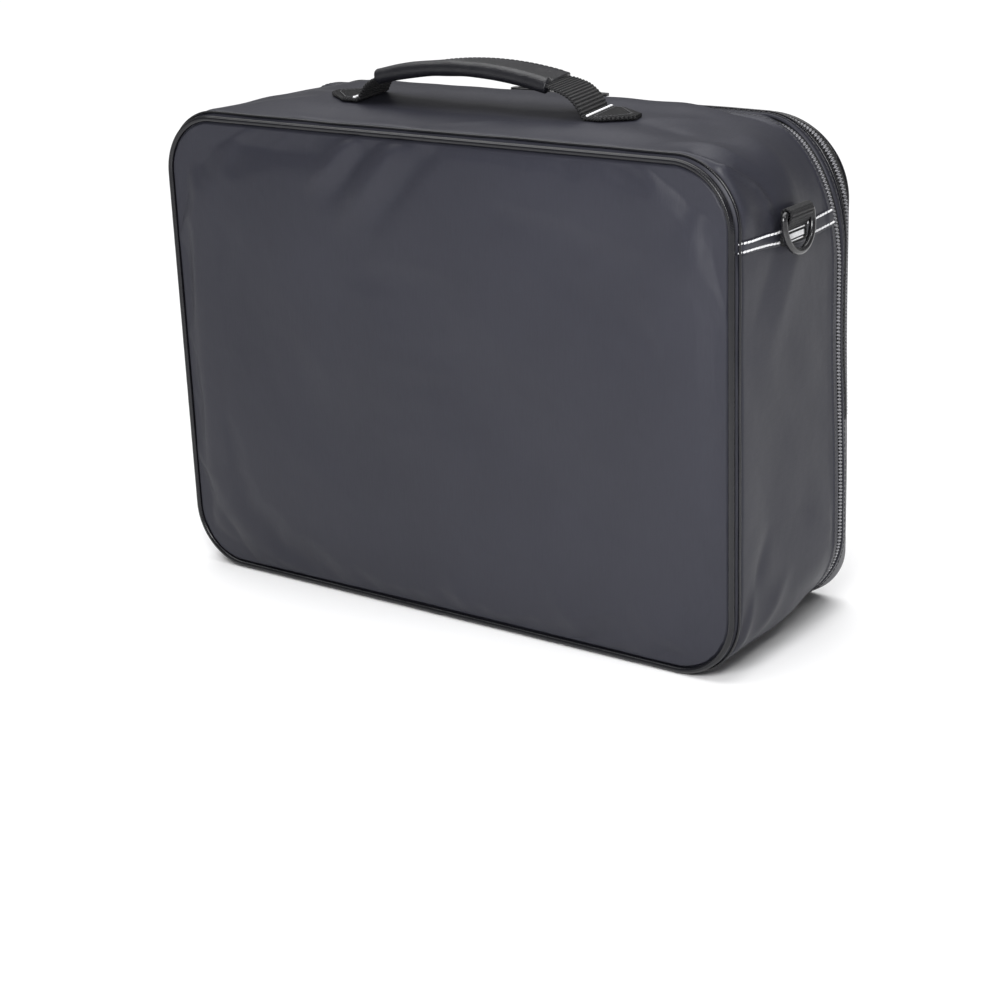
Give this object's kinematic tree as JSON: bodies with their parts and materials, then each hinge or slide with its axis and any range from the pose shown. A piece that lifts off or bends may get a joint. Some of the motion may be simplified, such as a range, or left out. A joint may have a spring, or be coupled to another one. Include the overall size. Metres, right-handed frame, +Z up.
{
  "type": "doctors bag",
  "caption": "Soft-sided zipped doctor's case with a hinged front, a front pocket flap, a padded top handle and side D-rings.",
  "frame": {"origin": "middle of the footprint's bounding box, on the surface that the case stands on", "axes": "+Z up, +X along the case's width, +Y towards the hinged front with the zips; the plain back panel faces -Y"},
  "size_m": [0.4202, 0.15, 0.3285],
  "materials": {
    "cover": "fine coated twill, satin",
    "piping": "coated piping, satin",
    "foam": "closed-cell foam",
    "lining": "plain woven lining",
    "divider": "padded, brushed fabric",
    "board": "stiff board, matte",
    "zip": "woven tape with a moulded coil",
    "webbing": "ribbed webbing",
    "grip": "leatherette, satin",
    "elastic": "ribbed elastic",
    "ring": "gloss black enamel",
    "slider": "satin black enamel"
  },
  "bodies": {
    "shell": {"back_panel": "cover", "back_foam": "foam", "back_lining": "lining", "back_piping": "piping", "gusset_upper": "cover", "gusset_lower": "cover", "crown_pad": "foam", "side_seam_strips": "cover", "gusset_foam_upper": "foam", "gusset_foam_lower": "foam", "gusset_lining": "lining", "base_board": "board", "divider_left": "divider", "divider_right": "divider", "main_zip_body": "zip", "handle_foot_right": "webbing", "handle_foot_left": "webbing", "ring_loop_right": "webbing", "ring_loop_left": "webbing"},
    "lid": {"main_zip_lid": "zip", "lid_gusset": "cover", "lid_lining": "lining", "lid_foam": "foam", "pocket_lining": "lining", "elastic_loops": "elastic", "pocket_zip_lid": "zip", "front_panel_lower": "cover", "front_foam_lower": "foam", "front_lining_lower": "lining", "front_piping_lower": "piping"},
    "flap": {"pocket_zip_flap": "zip", "flap_panel": "cover", "flap_foam": "foam", "flap_lining": "lining", "flap_piping": "piping"},
    "handle": {"handle_webbing": "webbing", "handle_grip_cover": "grip", "handle_grip_core": "foam"},
    "ring_right": {"d_ring_right": "ring"},
    "ring_left": {"d_ring_left": "ring"},
    "main_slider_left": {"main_slider_left": "slider"},
    "main_pull_left": {"main_pull_left": "slider"},
    "main_slider_right": {"main_slider_right": "slider"},
    "main_pull_right": {"main_pull_right": "slider"},
    "pocket_slider_left": {"pocket_slider_left": "slider"},
    "pocket_pull_left": {"pocket_pull_left": "slider"},
    "pocket_slider_right": {"pocket_slider_right": "slider"},
    "pocket_pull_right": {"pocket_pull_right": "slider"}
  },
  "joints": [
    {"name": "lid_open", "type": "hinge", "parent": "shell", "child": "lid", "pos_m": [0, 0.07275, 0.00255], "axis": [-1, 0, 0], "range_deg": [0, 90]},
    {"name": "flap_open", "type": "hinge", "parent": "lid", "child": "flap", "pos_m": [0, 0.07275, 0.119], "axis": [-1, 0, 0], "range_deg": [0, 90]},
    {"name": "handle_lean", "type": "hinge", "parent": "shell", "child": "handle", "pos_m": [0, -0.018, 0.30335], "axis": [1, 0, 0], "range_deg": [-30, 30], "stiffness_Nm_per_rad": 0.05},
    {"name": "ring_right_swing", "type": "hinge", "parent": "shell", "child": "ring_right", "pos_m": [0.20565, -0.016, 0.2565], "axis": [0, -1, 0], "range_deg": [0, 165]},
    {"name": "ring_left_swing", "type": "hinge", "parent": "shell", "child": "ring_left", "pos_m": [-0.20565, -0.016, 0.2565], "axis": [0, 1, 0], "range_deg": [0, 165]},
    {"name": "main_slider_left_slide", "type": "slide", "parent": "shell", "child": "main_slider_left", "axis": [-1, 0, 0], "range_m": [0, 0.135]},
    {"name": "main_pull_left_lift", "type": "hinge", "parent": "main_slider_left", "child": "main_pull_left", "pos_m": [-0.009, 0.044, 0.2957], "axis": [0, 1, 0], "range_deg": [0, 90]},
    {"name": "main_slider_right_slide", "type": "slide", "parent": "shell", "child": "main_slider_right", "axis": [1, 0, 0], "range_m": [0, 0.135]},
    {"name": "main_pull_right_lift", "type": "hinge", "parent": "main_slider_right", "child": "main_pull_right", "pos_m": [0.009, 0.044, 0.2957], "axis": [0, -1, 0], "range_deg": [0, 90]},
    {"name": "pocket_slider_left_slide", "type": "slide", "parent": "lid", "child": "pocket_slider_left", "axis": [-1, 0, 0], "range_m": [0, 0.135]},
    {"name": "pocket_pull_left_lift", "type": "hinge", "parent": "pocket_slider_left", "child": "pocket_pull_left", "pos_m": [-0.009, 0.0635, 0.2957], "axis": [0, 1, 0], "range_deg": [0, 90]},
    {"name": "pocket_slider_right_slide", "type": "slide", "parent": "lid", "child": "pocket_slider_right", "axis": [1, 0, 0], "range_m": [0, 0.135]},
    {"name": "pocket_pull_right_lift", "type": "hinge", "parent": "pocket_slider_right", "child": "pocket_pull_right", "pos_m": [0.009, 0.0635, 0.2957], "axis": [0, -1, 0], "range_deg": [0, 90]}
  ]
}
